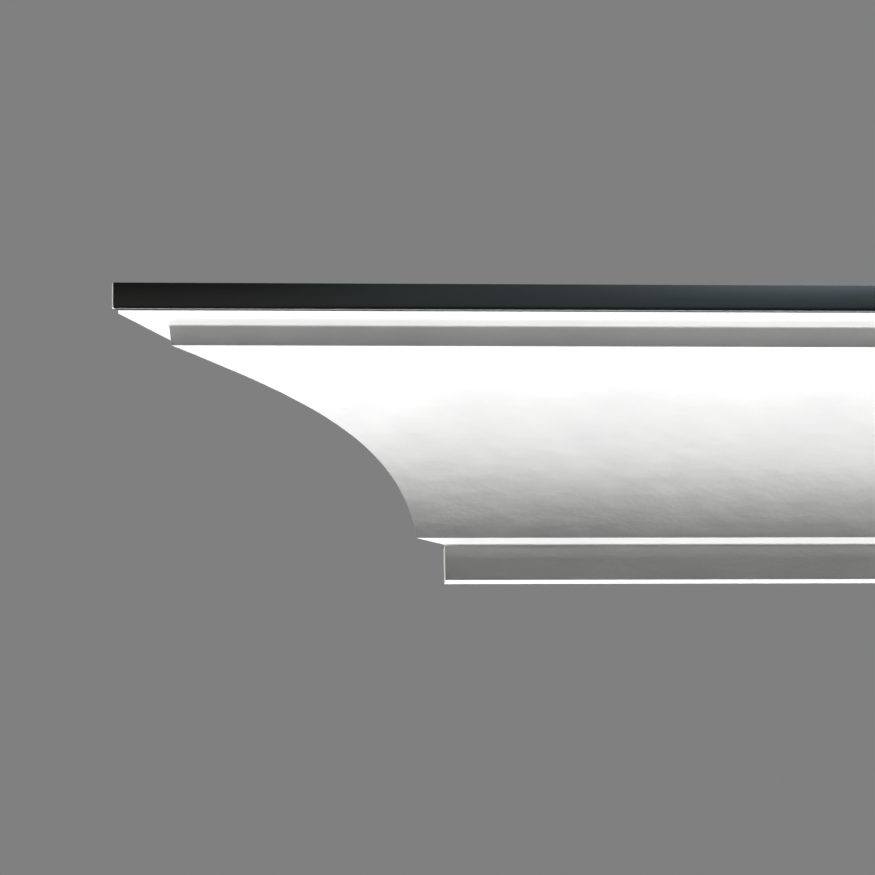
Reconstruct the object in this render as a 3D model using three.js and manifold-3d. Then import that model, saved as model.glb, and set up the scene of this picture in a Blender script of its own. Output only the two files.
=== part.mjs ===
import * as THREE from 'three';
import { mergeVertices } from 'three/addons/utils/BufferGeometryUtils.js';
import Module from 'manifold-3d';

// Crown moulding length with a dark strip along the front of its lip. Millimetres, +Z up.
// X runs along the wall, +Y points into the wall, and the front faces -Y.
// The origin is the middle of the land that lies against the wall.

// Overall length, from the long point of the mitre to the square end
const length = 1000;

// Dark strip on the front of the lip
const stripHeight = 12;
const stripThickness = 2.5;
const glueLine = 0.3;

// Front of the section, from the lip down to the wall
const lipOverhang = 23.4;
const filletHeight = 9.2;
const coveDepth = 117;
const coveHeight = 61.4;
const stepDepth = 14.7;
const bandHeight = 17.4;
const bandThickness = 9;

// Shape of the cove: how far it is off level at the fillet and off plumb at the step,
// and how far it keeps each of those directions
const coveTopSlope = THREE.MathUtils.degToRad(7);
const coveFootSlope = THREE.MathUtils.degToRad(9);
const coveTopLead = 60;
const coveFootLead = 47;
const coveFacets = 48;

// Back of the section: the level land under the ceiling and the plumb land on the wall
const ceilingLand = 92;
const wallLand = 32;

// Stub of the lip that turns the corner: its first square stretch, and how far
// its slanted cut stands past the mitre in line with the fillet
const stubSide = 5;
const stubReach = 24;

// Depths from the front face of the strip, and heights below the top
const lipFront = stripThickness + glueLine;
const filletFront = lipFront + lipOverhang;
const coveFoot = filletFront + coveDepth;
const bandFront = coveFoot + stepDepth;
const wallPlane = bandFront + bandThickness;
const coveTopHeight = -(stripHeight + filletHeight);
const stepHeight = coveTopHeight - coveHeight;
const bottomHeight = stepHeight - bandHeight;

// Place of the section's corner, strip front and top, in the part's own frame
const place = new THREE.Vector3(
  -(length + wallPlane) / 2,
  -wallPlane,
  -bottomHeight - wallLand / 2,
);

const wasm = await Module();
wasm.setup();

const crownFinish = new THREE.MeshStandardMaterial({
  color: 0xf3f3f0,
  roughness: 0.75,
  metalness: 0,
});

const stripFinish = new THREE.MeshStandardMaterial({
  color: 0x14171a,
  roughness: 0.35,
  metalness: 0,
});

// The hollow of the cove, from the foot of the fillet to the edge of the step
function covePoints() {
  const top = new THREE.Vector2(filletFront, coveTopHeight);
  const foot = new THREE.Vector2(coveFoot, stepHeight);
  const topDirection = new THREE.Vector2(Math.cos(coveTopSlope), -Math.sin(coveTopSlope));
  const footDirection = new THREE.Vector2(-Math.sin(coveFootSlope), Math.cos(coveFootSlope));
  const curve = new THREE.CubicBezierCurve(
    top,
    top.clone().addScaledVector(topDirection, coveTopLead),
    foot.clone().addScaledVector(footDirection, coveFootLead),
    foot,
  );
  return curve.getPoints(coveFacets);
}

// Whole section of the moulding as depth and height
function crownSection() {
  return [
    new THREE.Vector2(lipFront, 0),
    new THREE.Vector2(lipFront, -stripHeight),
    new THREE.Vector2(filletFront, -stripHeight),
    ...covePoints(),
    new THREE.Vector2(bandFront, stepHeight),
    new THREE.Vector2(bandFront, bottomHeight),
    new THREE.Vector2(wallPlane, bottomHeight),
    new THREE.Vector2(wallPlane, bottomHeight + wallLand),
    new THREE.Vector2(lipFront + ceilingLand, 0),
  ];
}

function stripSection() {
  return [
    new THREE.Vector2(0, 0),
    new THREE.Vector2(0, -stripHeight),
    new THREE.Vector2(stripThickness, -stripHeight),
    new THREE.Vector2(stripThickness, 0),
  ];
}

// Carries a section along X. Its left end is set back by each point's own depth,
// which is a 45 degree mitre, and its right end is square.
function mitredRun(section) {
  const geometry = new THREE.ExtrudeGeometry(new THREE.Shape(section), {
    depth: length,
    bevelEnabled: false,
  });
  const position = geometry.getAttribute('position');
  for (let i = 0; i < position.count; i += 1) {
    const depth = position.getX(i);
    const height = position.getY(i);
    const atMitre = position.getZ(i) === 0;
    position.setXYZ(i, atMitre ? depth : length, depth, height);
  }
  return geometry;
}

// The corner of the lip, cut off on a slant a little way behind the mitre.
// Its plan runs forward into the moulding so that the two join as one body.
function lipStub() {
  const stubBack = filletFront + stubReach;
  const plan = [
    new THREE.Vector2(lipFront, lipFront),
    new THREE.Vector2(stubBack, lipFront),
    new THREE.Vector2(stubBack, stubBack),
    new THREE.Vector2(filletFront, stubBack),
    new THREE.Vector2(lipFront, lipFront + stubSide),
  ];
  const geometry = new THREE.ExtrudeGeometry(new THREE.Shape(plan), {
    depth: stripHeight,
    bevelEnabled: false,
  });
  return geometry.translate(0, 0, -stripHeight);
}

// The corner of the bottom band, which runs past the mitre to the plane of the wall
function bandStub() {
  const plan = [
    new THREE.Vector2(bandFront, bandFront),
    new THREE.Vector2(wallPlane, bandFront),
    new THREE.Vector2(wallPlane, wallPlane),
    new THREE.Vector2(bandFront, wallPlane),
  ];
  const geometry = new THREE.ExtrudeGeometry(new THREE.Shape(plan), {
    depth: bandHeight,
    bevelEnabled: false,
  });
  return geometry.translate(0, 0, bottomHeight);
}

function toSolid(geometry) {
  const bare = geometry.clone();
  bare.deleteAttribute('normal');
  bare.deleteAttribute('uv');
  const merged = mergeVertices(bare, 1e-4);
  return new wasm.Manifold(new wasm.Mesh({
    numProp: 3,
    vertProperties: merged.getAttribute('position').array,
    triVerts: Uint32Array.from(merged.index.array),
  }));
}

function toGeometry(solid) {
  const mesh = solid.getMesh();
  const indexed = new THREE.BufferGeometry();
  indexed.setAttribute('position', new THREE.BufferAttribute(mesh.vertProperties, 3));
  indexed.setIndex(new THREE.BufferAttribute(mesh.triVerts, 1));
  const geometry = indexed.toNonIndexed();
  geometry.computeVertexNormals();
  return geometry;
}

function crownMoulding() {
  const run = toSolid(mitredRun(crownSection()));
  const body = run.add(toSolid(lipStub())).add(toSolid(bandStub()));
  const mesh = new THREE.Mesh(toGeometry(body), crownFinish);
  mesh.name = 'crown_moulding';
  return mesh;
}

function fasciaStrip() {
  const mesh = new THREE.Mesh(mitredRun(stripSection()), stripFinish);
  mesh.name = 'fascia_strip';
  return mesh;
}

const moulding = new THREE.Group();
moulding.add(crownMoulding(), fasciaStrip());
moulding.position.copy(place);

export default moulding;
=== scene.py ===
import math
from types import SimpleNamespace

import bmesh
import bpy
import numpy as np
from mathutils import Matrix, Vector


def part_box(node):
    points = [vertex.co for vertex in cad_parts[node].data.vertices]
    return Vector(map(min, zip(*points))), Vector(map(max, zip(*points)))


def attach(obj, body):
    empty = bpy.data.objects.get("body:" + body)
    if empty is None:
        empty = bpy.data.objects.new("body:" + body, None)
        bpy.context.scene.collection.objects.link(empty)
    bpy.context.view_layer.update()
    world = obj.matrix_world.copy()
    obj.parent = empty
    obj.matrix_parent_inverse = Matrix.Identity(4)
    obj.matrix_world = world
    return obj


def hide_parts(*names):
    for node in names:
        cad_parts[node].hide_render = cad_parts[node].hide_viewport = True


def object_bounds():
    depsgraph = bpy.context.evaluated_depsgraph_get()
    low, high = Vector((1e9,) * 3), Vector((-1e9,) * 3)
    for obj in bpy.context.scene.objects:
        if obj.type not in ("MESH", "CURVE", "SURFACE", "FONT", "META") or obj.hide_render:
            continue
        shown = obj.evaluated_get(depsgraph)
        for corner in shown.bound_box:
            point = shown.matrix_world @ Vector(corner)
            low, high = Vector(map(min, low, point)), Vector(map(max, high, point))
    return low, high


# Crown moulding length: white cast plaster with a near-black strip along its lip.
# Metres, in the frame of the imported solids: X along the run, +Y into the wall, +Z up.

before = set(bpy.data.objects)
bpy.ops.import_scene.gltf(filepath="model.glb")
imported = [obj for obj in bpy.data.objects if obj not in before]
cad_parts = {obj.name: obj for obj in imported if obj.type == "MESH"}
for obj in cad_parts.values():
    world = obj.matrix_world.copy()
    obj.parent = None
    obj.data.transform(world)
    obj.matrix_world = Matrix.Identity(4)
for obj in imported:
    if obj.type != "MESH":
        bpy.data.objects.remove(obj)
cadLow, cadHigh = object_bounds()
print("frame loaded:", sorted(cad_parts))


# Camera: from below and a little to the left, a long lens as in the photograph
camera = {
    "lens": 144.0,  # mm
    "sensor": 36.0,  # mm
    "nearest": 0.05,  # what lies nearer or further away is not drawn
    "furthest": 60.0,
    "pitch": 14.79,  # degrees above level
    "yaw": 4.45,  # degrees towards the square end
    "roll": -1.085,
    "left": 0.02755,  # from the mitre's long point towards the square end
    "front": 1.4839,  # in front of the strip
    "below": 0.46375,  # below the top
}


def makeCamera():
    pitch, yaw, roll = (math.radians(camera[k]) for k in ("pitch", "yaw", "roll"))
    forward = Vector((
        math.sin(yaw) * math.cos(pitch),
        math.cos(yaw) * math.cos(pitch),
        math.sin(pitch),
    ))
    level = forward.cross(Vector((0, 0, 1))).normalized()
    upright = level.cross(forward)
    right = level * math.cos(roll) + upright * math.sin(roll)
    up = upright * math.cos(roll) - level * math.sin(roll)
    data = bpy.data.cameras.new("photoCamera")
    data.lens = camera["lens"]
    data.sensor_width = camera["sensor"]
    data.clip_start, data.clip_end = camera["nearest"], camera["furthest"]
    cam = bpy.data.objects.new("photoCamera", data)
    turn = Matrix((right, up, -forward)).transposed().to_4x4()
    spot = Vector((
        cadLow.x + camera["left"],
        cadLow.y - camera["front"],
        cadHigh.z - camera["below"],
    ))
    cam.matrix_world = Matrix.Translation(spot) @ turn
    bpy.context.scene.collection.objects.link(cam)
    bpy.context.scene.camera = cam


makeCamera()
print("camera placed")


# Node helpers for the procedural materials
def newMaterial(name):
    mat = bpy.data.materials.new(name)
    mat.use_nodes = True
    return mat, mat.node_tree.nodes, mat.node_tree.links


def addNoise(nodes, links, coords, scale, detail, rough=0.5, stretch=(1, 1, 1)):
    mapping = nodes.new("ShaderNodeMapping")
    mapping.inputs["Scale"].default_value = stretch
    links.new(coords.outputs["Object"], mapping.inputs["Vector"])
    noise = nodes.new("ShaderNodeTexNoise")
    noise.inputs["Scale"].default_value = scale
    noise.inputs["Detail"].default_value = detail
    noise.inputs["Roughness"].default_value = rough
    links.new(mapping.outputs["Vector"], noise.inputs["Vector"])
    return noise


def addRamp(nodes, links, source, finish):
    ramp = nodes.new("ShaderNodeValToRGB")
    ramp.color_ramp.elements[0].position = finish["toneLow"]
    ramp.color_ramp.elements[1].position = finish["toneHigh"]
    ramp.color_ramp.elements[0].color = (*finish["dark"], 1)
    ramp.color_ramp.elements[1].color = (*finish["light"], 1)
    links.new(source, ramp.inputs["Fac"])
    return ramp


def addRange(nodes, links, source, finish):
    span = nodes.new("ShaderNodeMapRange")
    span.inputs["To Min"].default_value = finish["roughLow"]
    span.inputs["To Max"].default_value = finish["roughHigh"]
    links.new(source, span.inputs["Value"])
    return span


def addBump(nodes, links, height, distance, before=None):
    bump = nodes.new("ShaderNodeBump")
    bump.inputs["Distance"].default_value = distance
    links.new(height, bump.inputs["Height"])
    if before:
        links.new(before.outputs["Normal"], bump.inputs["Normal"])
    return bump


whitePaint = {
    "light": (0.83, 0.83, 0.825),
    "dark": (0.79, 0.792, 0.79),
    "toneLow": 0.35,  # noise levels that give the dark and the light tone
    "toneHigh": 0.68,
    "patch": 22.0,  # broad, barely seen change of tone, per metre
    "tooth": 400.0,  # fine tooth left by the brush
    "fibre": 200.0,  # soft papery marks, longer along the run
    "fibreStretch": (0.45, 1, 1),
    "toothHeight": 0.00005,
    "fibreHeight": 0.00023,
    "roughLow": 0.5,
    "roughHigh": 0.68,
    "specular": 0.3,
}


def makeWhitePaint():
    mat, nodes, links = newMaterial("whitePaint")
    shader = nodes["Principled BSDF"]
    coords = nodes.new("ShaderNodeTexCoord")
    patch = addNoise(nodes, links, coords, whitePaint["patch"], detail=4.0)
    tone = addRamp(nodes, links, patch.outputs["Fac"], whitePaint)
    links.new(tone.outputs["Color"], shader.inputs["Base Color"])
    fibre = addNoise(nodes, links, coords, whitePaint["fibre"], detail=5.0, rough=0.6,
                     stretch=whitePaint["fibreStretch"])
    tooth = addNoise(nodes, links, coords, whitePaint["tooth"], detail=3.0, rough=0.6)
    sheen = addRange(nodes, links, fibre.outputs["Fac"], whitePaint)
    links.new(sheen.outputs["Result"], shader.inputs["Roughness"])
    soft = addBump(nodes, links, fibre.outputs["Fac"], whitePaint["fibreHeight"])
    fine = addBump(nodes, links, tooth.outputs["Fac"], whitePaint["toothHeight"], soft)
    links.new(fine.outputs["Normal"], shader.inputs["Normal"])
    shader.inputs["Specular IOR Level"].default_value = whitePaint["specular"]
    return mat


barePlaster = {
    "light": (0.80, 0.79, 0.765),
    "dark": (0.70, 0.69, 0.665),
    "toneLow": 0.3,
    "toneHigh": 0.72,
    "cloud": 14.0,
    "grain": 600.0,
    "pits": 260.0,
    "pitFloor": 0.05,  # shares of a cell: the floor of its pit and the pit's rim
    "pitRim": 0.22,
    "pitDepth": 0.00035,
    "grainHeight": 0.0001,
    "rough": 0.9,
    "specular": 0.2,
}


def makeBarePlaster():
    mat, nodes, links = newMaterial("barePlaster")
    shader = nodes["Principled BSDF"]
    coords = nodes.new("ShaderNodeTexCoord")
    cloud = addNoise(nodes, links, coords, barePlaster["cloud"], detail=6.0, rough=0.6)
    tone = addRamp(nodes, links, cloud.outputs["Fac"], barePlaster)
    links.new(tone.outputs["Color"], shader.inputs["Base Color"])
    pits = nodes.new("ShaderNodeTexVoronoi")
    pits.inputs["Scale"].default_value = barePlaster["pits"]
    links.new(coords.outputs["Object"], pits.inputs["Vector"])
    holes = nodes.new("ShaderNodeMapRange")
    holes.inputs["From Min"].default_value = barePlaster["pitFloor"]
    holes.inputs["From Max"].default_value = barePlaster["pitRim"]
    links.new(pits.outputs["Distance"], holes.inputs["Value"])
    grain = addNoise(nodes, links, coords, barePlaster["grain"], detail=3.0, rough=0.6)
    pitBump = addBump(nodes, links, holes.outputs["Result"], barePlaster["pitDepth"])
    grainBump = addBump(nodes, links, grain.outputs["Fac"], barePlaster["grainHeight"],
                        pitBump)
    links.new(grainBump.outputs["Normal"], shader.inputs["Normal"])
    shader.inputs["Roughness"].default_value = barePlaster["rough"]
    shader.inputs["Specular IOR Level"].default_value = barePlaster["specular"]
    return mat


# near-black glossy finish on the strip along the lip's front
nearBlackGloss = {
    "light": (0.020, 0.023, 0.026),
    "dark": (0.012, 0.0145, 0.0165),
    "toneLow": 0.35,
    "toneHigh": 0.7,
    "streak": 60.0,
    "streakStretch": (0.08, 1, 1),
    "peel": 180.0,  # faint orange peel of the near-black finish
    "peelHeight": 0.00002,
    "roughLow": 0.2,
    "roughHigh": 0.3,
    "specular": 0.9,
    "coat": 1.0,
    "coatRough": 0.16,
}


def makeNearBlackGloss():
    mat, nodes, links = newMaterial("nearBlackGloss")
    shader = nodes["Principled BSDF"]
    coords = nodes.new("ShaderNodeTexCoord")
    streak = addNoise(nodes, links, coords, nearBlackGloss["streak"], detail=5.0, rough=0.6,
                      stretch=nearBlackGloss["streakStretch"])
    tone = addRamp(nodes, links, streak.outputs["Fac"], nearBlackGloss)
    links.new(tone.outputs["Color"], shader.inputs["Base Color"])
    sheen = addRange(nodes, links, streak.outputs["Fac"], nearBlackGloss)
    links.new(sheen.outputs["Result"], shader.inputs["Roughness"])
    peel = addNoise(nodes, links, coords, nearBlackGloss["peel"], detail=2.0)
    bump = addBump(nodes, links, peel.outputs["Fac"], nearBlackGloss["peelHeight"])
    links.new(bump.outputs["Normal"], shader.inputs["Normal"])
    shader.inputs["Specular IOR Level"].default_value = nearBlackGloss["specular"]
    shader.inputs["Coat Weight"].default_value = nearBlackGloss["coat"]
    shader.inputs["Coat Roughness"].default_value = nearBlackGloss["coatRough"]
    return mat


# pale finish on the blunted long point of the strip: a painted highlight standing for the
# lit end face, also lit by the stripEdge lamp
paleEdgeHighlight = {
    "light": (0.88, 0.88, 0.87),
    "dark": (0.72, 0.72, 0.71),
    "toneLow": 0.3,
    "toneHigh": 0.7,
    "edgeMottle": 500.0,
    "rough": 0.7,
}


# the pale painted highlight on the strip's long point
def makePaleEdgeHighlight():
    mat, nodes, links = newMaterial("paleEdgeHighlight")
    shader = nodes["Principled BSDF"]
    coords = nodes.new("ShaderNodeTexCoord")
    edgeMottle = addNoise(nodes, links, coords, paleEdgeHighlight["edgeMottle"], detail=4.0, rough=0.6)
    tone = addRamp(nodes, links, edgeMottle.outputs["Fac"], paleEdgeHighlight)
    links.new(tone.outputs["Color"], shader.inputs["Base Color"])
    shader.inputs["Roughness"].default_value = paleEdgeHighlight["rough"]
    return mat


paint = makeWhitePaint()
plaster = makeBarePlaster()
nearBlackFinish = makeNearBlackGloss()
paleHighlight = makePaleEdgeHighlight()
print("materials made")


# Sizes of the moulding's section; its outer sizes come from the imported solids
section = {
    "lipOverhang": 0.0234,
    "filletHeight": 0.0092,
    "coveDepth": 0.117,
    "coveHeight": 0.0614,
    "coveTopSlope": 7.0,  # degrees off level at the fillet
    "coveFootSlope": 9.0,  # degrees off plumb at the step
    "coveTopLead": 0.060,
    "coveFootLead": 0.047,
    "stepDepth": 0.0147,
    "ceilingLand": 0.092,
    "wallLand": 0.032,
    "stubSide": 0.005,
    "stubReach": 0.024,
}

crown = {
    "coveSteps": 96,
    "stations": 500,  # rings along the run
    "ease": 0.0005,  # rounding of the arrises
    "keen": 0.2,  # share of it on the corner of the band's stub
    "innerRadius": 0.0012,  # paint and filler in the two inner corners
    "innerSteps": 4,
    "filletLean": 5.5,  # degrees that the fillet leans forward, for its draw from the mould
    "waveHeight": 0.000025,  # how far the hand-run cove strays from true
    "waves": 60,
    "shortest": 0.006,
    "longest": 0.040,
    "drawHeight": 0.00003,  # marks that run the whole length
    "draws": 5,
    "fewest": 6,  # ridges of one mark across the cove
    "most": 22,
    "shift": 6,  # radians by which a mark may be shifted across
    "drift": 3,  # radians per metre by which it wanders along the run
    "fade": 0.006,  # width over which the relief dies away at each edge
    "seed": 11,
}


def covePath(top, foot):
    # a cubic curve from top to foot: its ends keep the two named directions for the
    # two named leads, and t runs evenly over the steps
    fall = math.radians(section["coveTopSlope"])
    lean = math.radians(section["coveFootSlope"])
    second = top + section["coveTopLead"] * np.array([math.cos(fall), -math.sin(fall)])
    third = foot + section["coveFootLead"] * np.array([-math.sin(lean), math.cos(lean)])
    t = np.linspace(0, 1, crown["coveSteps"] + 1)[:, None]
    return ((1 - t) ** 3 * top + 3 * t * (1 - t) ** 2 * second
            + 3 * t ** 2 * (1 - t) * third + t ** 3 * foot)


def innerCorner(depth, height):
    # quarter circle about a point in the air, from the level face to the upright one
    radius = crown["innerRadius"]
    angle = np.linspace(math.pi / 2, 0, crown["innerSteps"] + 1)
    return np.stack([
        depth - radius + radius * np.cos(angle),
        height - radius + radius * np.sin(angle),
    ], axis=-1)


def coveRelief(along, across):
    # sum of sine waves with seeded directions, lengths and phases, plus long marks that
    # wander slowly across the cove; both fade out smoothly at its two edges
    rng = np.random.default_rng(crown["seed"])
    reach = across[:, -1:]
    height = np.zeros_like(along)
    for _ in range(crown["waves"]):
        angle = rng.uniform(0, math.pi)
        span = crown["shortest"] * (crown["longest"] / crown["shortest"]) ** rng.uniform()
        phase = rng.uniform(0, 2 * math.pi)
        turn = 2 * math.pi / span
        height += span / crown["longest"] * np.sin(
            turn * (along * math.cos(angle) + across * math.sin(angle)) + phase)
    height *= crown["waveHeight"]
    for _ in range(crown["draws"]):
        ridges = rng.uniform(crown["fewest"], crown["most"])
        phase = rng.uniform(0, crown["shift"])
        height += crown["drawHeight"] / crown["draws"] * np.sin(
            2 * math.pi * ridges * across / reach + phase + crown["drift"] * along)
    fade = np.clip(np.minimum(across, reach - across) / crown["fade"], 0, 1)
    return height * fade * fade * (3 - 2 * fade)


def ringQuads(stations, count):
    # quads between neighbouring rings of a closed outline
    ring = np.arange(stations)[:, None] * count
    i = np.arange(count)
    j = (i + 1) % count
    quads = np.stack([ring + i, ring + count + i, ring + count + j, ring + j], axis=-1)
    return quads.reshape(-1, 4).tolist()


def makeMesh(name, points, faces, slots, finishes):
    mesh = bpy.data.meshes.new(name)
    mesh.from_pydata(points.tolist(), [], faces)
    mesh.polygons.foreach_set("material_index", slots)
    for finish in finishes:
        mesh.materials.append(finish)
    return mesh


def crownPlaces():
    # depths behind the front of the strip, heights against the top, and the run's length
    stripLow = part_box("fascia_strip")[0]
    low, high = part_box("crown_moulding")
    at = SimpleNamespace()
    at.origin = np.array([stripLow.x, stripLow.y, high.z])
    at.run = high.x - stripLow.x
    at.lipFront = low.y - stripLow.y
    at.lipFoot = stripLow.z - high.z
    at.filletFront = at.lipFront + section["lipOverhang"]
    at.coveTop = at.lipFoot - section["filletHeight"]
    at.coveFoot = at.filletFront + section["coveDepth"]
    at.step = at.coveTop - section["coveHeight"]
    at.bandFront = at.coveFoot + section["stepDepth"]
    at.wall = high.y - stripLow.y
    at.bottom = low.z - high.z
    at.stubBack = at.filletFront + section["stubReach"]
    return at


def crownOutline(at):
    # lip, fillet, cove, step, band, underside, wall land, back, ceiling land and the
    # point where the back of the lip's stub meets the top
    lean = section["filletHeight"] * math.tan(math.radians(crown["filletLean"]))
    lipCorner = innerCorner(at.filletFront - lean, at.lipFoot)
    cove = covePath(np.array([at.filletFront, at.coveTop]), np.array([at.coveFoot, at.step]))
    bandCorner = innerCorner(at.bandFront, at.step)
    outline = np.vstack([
        [at.lipFront, 0],
        [at.lipFront, at.lipFoot],
        lipCorner,
        cove,
        bandCorner,
        [at.bandFront, at.bottom],
        [at.wall, at.bottom],
        [at.wall, at.bottom + section["wallLand"]],
        [at.lipFront + section["ceilingLand"], 0],
        [at.stubBack, 0],
    ])
    firstCove = 2 + len(lipCorner)
    pastCove = firstCove + len(cove)
    bandTopEdge = pastCove + len(bandCorner) - 1
    return outline, slice(firstCove, pastCove), bandTopEdge


def crownRun(outline, hollow, run):
    # rings: x runs from each point's own depth, the 45 degree mitre, to the square end
    depth, height = outline[:, 0], outline[:, 1]
    t = np.linspace(0, 1, crown["stations"] + 1)[:, None]
    x = depth * (1 - t) + run * t
    y = np.broadcast_to(depth, x.shape).copy()
    z = np.broadcast_to(height, x.shape).copy()
    # the cove's relief lies along its own normal
    cove = outline[hollow]
    step = np.gradient(cove, axis=0)
    tangent = step / np.linalg.norm(step, axis=1)[:, None]
    gone = np.concatenate([[0], np.cumsum(np.linalg.norm(np.diff(cove, axis=0), axis=1))])
    relief = coveRelief(x[:, hollow], np.broadcast_to(gone, x[:, hollow].shape))
    y[:, hollow] += relief * tangent[:, 1]
    z[:, hollow] -= relief * tangent[:, 0]
    return np.stack([x, y, z], axis=-1).reshape(-1, 3)


def stubPoints(at):
    # stub of the lip: four corners past the mitre and one point on it; then the corner
    # of the band, which has two points on the mitre and two past it
    side = at.lipFront + section["stubSide"]
    return np.array([
        [at.lipFront, side, 0],
        [at.lipFront, side, at.lipFoot],
        [at.filletFront, at.stubBack, 0],
        [at.filletFront, at.stubBack, at.lipFoot],
        [at.stubBack, at.stubBack, at.lipFoot],
        [at.bandFront, at.bandFront, at.step],
        [at.wall, at.wall, at.step],
        [at.bandFront, at.wall, at.step],
        [at.bandFront, at.wall, at.bottom],
    ])


def crownFaces(count, bandTopEdge, stubs):
    # the run, then the ends and the stubs' own faces; slot 0 is paint and 1 is plaster
    (sideTop, sideFoot, slantTop, slantFoot, inner,
     bandRoot, bandInner, bandTop, bandFoot) = stubs
    underside = bandTopEdge + 1  # the side between band and wall is the last painted one
    faces = ringQuads(crown["stations"], count)
    slots = (np.arange(count) > underside).astype(int).tolist() * crown["stations"]
    faces[underside + 1].append(bandInner)
    lastRing = crown["stations"] * count
    faces.append([lastRing + k for k in range(count)][::-1])
    faces.append([*range(2, underside), bandRoot, bandInner,
                  *range(underside + 2, count), inner])
    faces.append([1, 2, inner, slantFoot, sideFoot])
    faces.append([0, sideTop, slantTop, count - 1])
    faces.append([0, 1, sideFoot, sideTop])
    faces.append([sideTop, sideFoot, slantFoot, slantTop])
    faces.append([slantTop, slantFoot, inner, count - 1])
    faces.append([bandRoot, bandTopEdge, underside, bandFoot, bandTop])
    faces.append([underside, underside + 1, bandFoot])
    faces.append([underside + 1, bandInner, bandTop, bandFoot])
    faces.append([bandRoot, bandTop, bandInner])
    slots += [1, 1, 0, 1, 0, 1, 1, 1, 0, 1, 1]
    keen = {bandRoot, bandTopEdge, underside, underside + 1, bandInner, bandTop, bandFoot}
    return faces, slots, keen


def makeCrown():
    at = crownPlaces()
    outline, hollow, bandTopEdge = crownOutline(at)
    grid = crownRun(outline, hollow, at.run)
    points = np.vstack([grid, stubPoints(at)]) + at.origin
    stubs = range(len(grid), len(points))
    faces, slots, keen = crownFaces(len(outline), bandTopEdge, stubs)
    mesh = makeMesh("whiteCrown", points, faces, slots, [paint, plaster])
    easeArrises(mesh, keen, crown["keen"])
    return linkPiece("whiteCrown", mesh, crown["ease"])


arris = {
    "angle": 25.0,  # degrees; a blunter edge is shaded smooth and is not eased
    "segments": 3,
}


def easeArrises(mesh, keen, keenShare):
    # outward faces, smooth shading that stops at arrises and where the finish changes,
    # and a bevel weight on each convex arris: a whole one, or the named share of it
    # where both ends are among the keen vertices
    work = bmesh.new()
    work.from_mesh(mesh)
    bmesh.ops.recalc_face_normals(work, faces=work.faces)
    weight = work.edges.layers.float.new("bevel_weight_edge")
    for edge in work.edges:
        sharp = edge.calc_face_angle(0) > math.radians(arris["angle"])
        share = keenShare if all(vert.index in keen for vert in edge.verts) else 1.0
        edge[weight] = share if sharp and edge.is_convex else 0.0
        finishes = {face.material_index for face in edge.link_faces}
        edge.smooth = not sharp and len(finishes) == 1
    work.to_mesh(mesh)
    work.free()
    mesh.shade_smooth()
    mesh.update()


def linkPiece(name, mesh, ease):
    piece = bpy.data.objects.new(name, mesh)
    bpy.context.scene.collection.objects.link(piece)
    bevel = piece.modifiers.new("easedArris", "BEVEL")
    bevel.limit_method = "WEIGHT"
    bevel.width = ease
    bevel.segments = arris["segments"]
    bevel.harden_normals = True
    bevel.loop_slide = False
    return piece


whiteCrown = makeCrown()
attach(whiteCrown, "root")
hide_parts("crown_moulding")
print("crown made:", len(whiteCrown.data.polygons), "faces")


strip = {
    "stations": 160,
    "faceSteps": 8,
    "bow": 0.00008,  # the front is very slightly rounded from top to foot
    "softArris": 0.0006,  # rounding of the lower front arris
    "arrisSteps": 5,
    "ease": 0.0004,  # rounding of the others
    "highlightRun": 0.0006,  # how far the pale face at the long point, a painted highlight, runs along the front
    "blunt": 0.0001,  # how much of the point itself is cut off
    "keen": 0.25,  # share of the rounding on its back edge
}


def stripOutline(thick, tall):
    # down the bowed front, whose depth grows with the square of the distance from its
    # middle line, round the soft lower arris and up the flat back
    radius = strip["softArris"]
    u = np.linspace(0, 1, strip["faceSteps"] + 1)
    bowed = np.stack([strip["bow"] * (2 * u - 1) ** 2, (radius - tall) * u], axis=-1)
    angle = np.linspace(0, math.pi / 2, strip["arrisSteps"] + 1)[1:]
    soft = np.stack([
        strip["bow"] + radius - radius * np.cos(angle),
        radius - tall - radius * np.sin(angle),
    ], axis=-1)
    return np.vstack([bowed, soft, [thick, -tall], [thick, 0]])


def makeStrip():
    low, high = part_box("fascia_strip")
    thick, tall, run = high.y - low.y, high.z - low.z, high.x - low.x
    outline = stripOutline(thick, tall)
    count = len(outline)
    depth, height = outline[:, 0], outline[:, 1]
    # the long point is blunted: the front starts a little way along
    start = depth + np.where(depth < thick, strip["highlightRun"], 0)
    t = np.linspace(0, 1, strip["stations"] + 1)[:, None]
    x = start * (1 - t) + run * t
    y = np.broadcast_to(depth, x.shape)
    z = np.broadcast_to(height, x.shape)
    grid = np.stack([x, y, z], axis=-1).reshape(-1, 3)
    # back edge of the pale face, a painted highlight, on the mitre's own plane
    back = depth[:-2] + strip["blunt"]
    highlightBack = np.stack([back, back, height[:-2]], axis=-1)
    points = np.vstack([grid, highlightBack]) + np.array([low.x, low.y, high.z])
    # the run, then the pale face and the ends; slot 0 is the near-black finish and 1 is the
    # pale painted highlight
    faces = ringQuads(strip["stations"], count)
    slots = [0] * len(faces)
    k = np.arange(count - 3)
    edge = len(grid)
    faces += np.stack([k, k + 1, edge + k + 1, edge + k], axis=-1).tolist()
    slots += [1] * len(k)
    lastRing = strip["stations"] * count
    faces.append([lastRing + m for m in range(count)][::-1])
    faces.append([*range(edge, edge + count - 2), count - 2, count - 1])
    faces.append([0, edge, count - 1])
    faces.append([count - 3, count - 2, edge + count - 3])
    slots += [0, 0, 0, 0]
    mesh = makeMesh("darkStrip", points, faces, slots, [nearBlackFinish, paleHighlight])
    keen = {*range(count - 2), *range(edge, edge + count - 2)}
    easeArrises(mesh, keen, strip["keen"])
    return linkPiece("darkStrip", mesh, strip["ease"])


darkStrip = makeStrip()
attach(darkStrip, "root")
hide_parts("fascia_strip")
print("strip made:", len(darkStrip.data.polygons), "faces")


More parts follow.
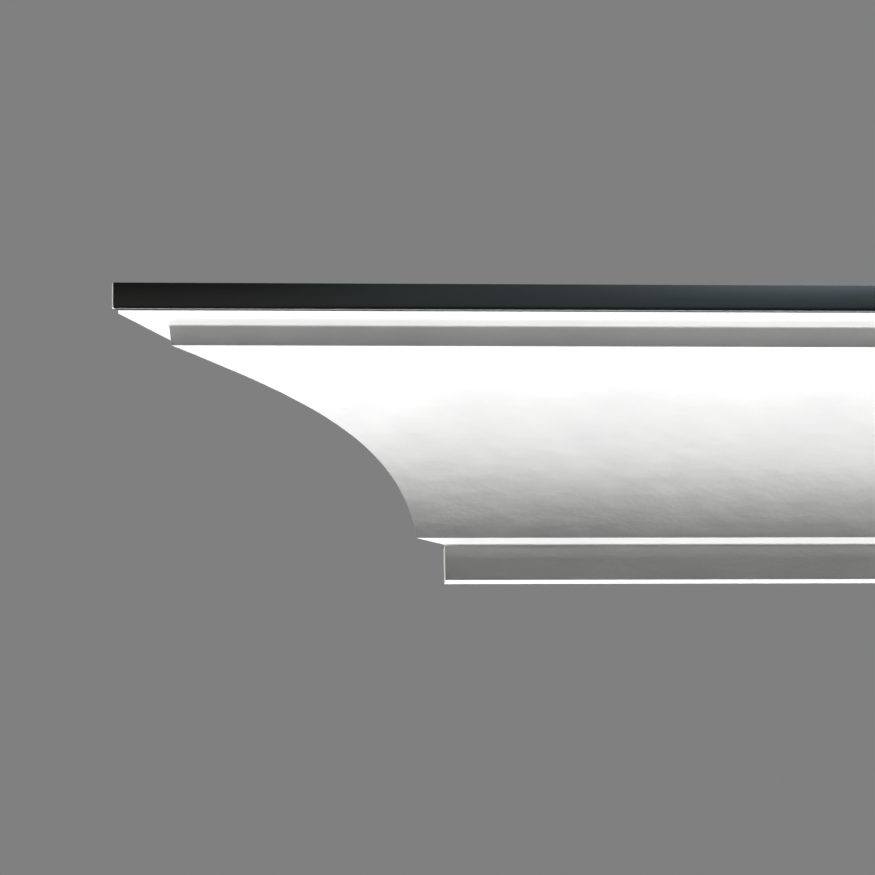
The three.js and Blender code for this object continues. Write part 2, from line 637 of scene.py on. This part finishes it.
# Studio: a pale floor well below, an even grey surround and soft lights
studio = {
    "floorDrop": 4.4,
    "floorSize": 400.0,
    "floorColour": (0.62, 0.62, 0.61),
    "floorRough": 0.8,
    "floorSun": 3.3,
    "floorSunAngle": 30.0,
    "surround": (0.27, 0.27, 0.27),  # the even grey that the camera sees
    "ambient": (0.002, 0.002, 0.002),  # what it adds to the moulding
    "gamma": 0.85,  # below 1 deepens the middle tones, as the photograph's are
    "lights": {
        # name: (place, aims at, width, depth, watts, colour); the panels and lamps
        # whose names start with strip light the strip alone
        "under": ((0, 0.12, -2.0), (0, -0.1, 0.03), 3.0, 0.34, 59.5, (1, 1, 1)),
        "underBack": ((0, 1.3, -1.45), (0, -0.1, 0.03), 3.0, 0.5, 7.0, (1, 1, 1)),
        "lowBack": ((0, 1.55, -1.25), (0, -0.1, 0.03), 3.0, 0.4, 16.5, (1, 0.98, 1)),
        "frontRight": ((0.3, -0.55, -0.05), (-0.1, -0.14, 0.05), 0.25, 0.25, 0.3,
                       (1, 0.93, 0.85)),
        "stripRight": ((0.2, -2.0, 0.95), (-0.25, -0.16, 0.08), 0.42, 0.3, 1.85,
                       (0.75, 0.87, 1)),
        "stripMiddle": ((-0.1, -2.0, 0.65), (-0.4, -0.16, 0.08), 0.6, 0.45, 0.42,
                        (0.8, 1, 1)),
        "stripLeft": ((-0.6, -2.0, 0.5), (-0.5, -0.16, 0.08), 0.4, 0.3, 0.14,
                      (1, 0.92, 0.74)),
        "stripFoot": ((0, -1.5, -0.9), (-0.2, -0.16, 0.08), 3.0, 1.9, 1.6,
                      (1, 0.93, 0.9)),
        "stripEdge": ((-2.5, -0.3, -0.8), (-0.58, -0.16, 0.08), 0.6, 0.6, 115.0,
                      (1, 1, 1)),
        "mitreSide": ((-2.5, 0.1, -0.2), (-0.5, -0.16, 0.05), 0.8, 0.8, 30.0, (1, 1, 1)),
        "rear": ((0.2, 2.2, 2.0), (0, -0.05, 0.05), 2.0, 2.0, 46.0, (1, 1, 1)),
        "above": ((0, 0.4, 2.5), (0, -0.05, 0.05), 2.0, 2.0, 22.0, (1, 1, 1)),
        "farEnd": ((2.6, 1.5, 1.1), (0.4, -0.08, 0.03), 1.4, 1.4, 24.0, (1, 1, 1)),
    },
}


def makeSurround():
    # the camera sees one even grey; the moulding is lit by a dimmer one
    world = bpy.data.worlds.new("surround")
    world.use_nodes = True
    nodes, links = world.node_tree.nodes, world.node_tree.links
    lighting = nodes["Background"]
    lighting.inputs["Color"].default_value = (*studio["ambient"], 1)
    seen = nodes.new("ShaderNodeBackground")
    seen.inputs["Color"].default_value = (*studio["surround"], 1)
    path = nodes.new("ShaderNodeLightPath")
    mix = nodes.new("ShaderNodeMixShader")
    links.new(path.outputs["Is Camera Ray"], mix.inputs["Fac"])
    links.new(lighting.outputs["Background"], mix.inputs[1])
    links.new(seen.outputs["Background"], mix.inputs[2])
    links.new(mix.outputs["Shader"], nodes["World Output"].inputs["Surface"])
    bpy.context.scene.world = world


def linkedOnly(name, piece):
    # what a lamp with this collection of receivers lights
    receivers = bpy.data.collections.new(name)
    receivers.objects.link(piece)
    return receivers


def makeFloor():
    half = studio["floorSize"] / 2
    drop = cadLow.z - studio["floorDrop"]
    corners = [
        (-half, -half, drop),
        (half, -half, drop),
        (half, half, drop),
        (-half, half, drop),
    ]
    mesh = bpy.data.meshes.new("floor")
    mesh.from_pydata(corners, [], [[0, 1, 2, 3]])
    floor = bpy.data.objects.new("floor", mesh)
    bpy.context.scene.collection.objects.link(floor)
    mat, nodes, _ = newMaterial("paleFloor")
    shader = nodes["Principled BSDF"]
    shader.inputs["Base Color"].default_value = (*studio["floorColour"], 1)
    shader.inputs["Roughness"].default_value = studio["floorRough"]
    mesh.materials.append(mat)
    return floor


def lightFloor(floor):
    # the floor has a sun of its own and throws no light back at the moulding
    floor.visible_diffuse = False
    floor.visible_glossy = False
    data = bpy.data.lights.new("floorSun", "SUN")
    data.energy = studio["floorSun"]
    data.angle = math.radians(studio["floorSunAngle"])
    sun = bpy.data.objects.new("floorSun", data)
    bpy.context.scene.collection.objects.link(sun)
    sun.light_linking.receiver_collection = linkedOnly("floorOnly", floor)


def aimLamp(place, aim):
    # the lamp's width stays level, along the run
    back = (place - aim).normalized()
    across = (Vector((1, 0, 0)) - back * back.x).normalized()
    turn = Matrix((across, back.cross(across), back)).transposed().to_4x4()
    return Matrix.Translation(place) @ turn


def hangLamps():
    stripOnly = linkedOnly("stripOnly", darkStrip)
    for name, (place, aim, width, deep, watts, colour) in studio["lights"].items():
        data = bpy.data.lights.new(name, "AREA")
        data.shape = "RECTANGLE"
        data.size, data.size_y = width, deep
        data.energy = watts
        data.color = colour
        lamp = bpy.data.objects.new(name, data)
        lamp.matrix_world = aimLamp(Vector(place), Vector(aim))
        lamp.visible_camera = False
        bpy.context.scene.collection.objects.link(lamp)
        if name.startswith("strip"):
            lamp.light_linking.receiver_collection = stripOnly


lightFloor(makeFloor())
makeSurround()
hangLamps()
bpy.context.scene.view_settings.view_transform = "Standard"
bpy.context.scene.view_settings.gamma = studio["gamma"]
print("studio made")
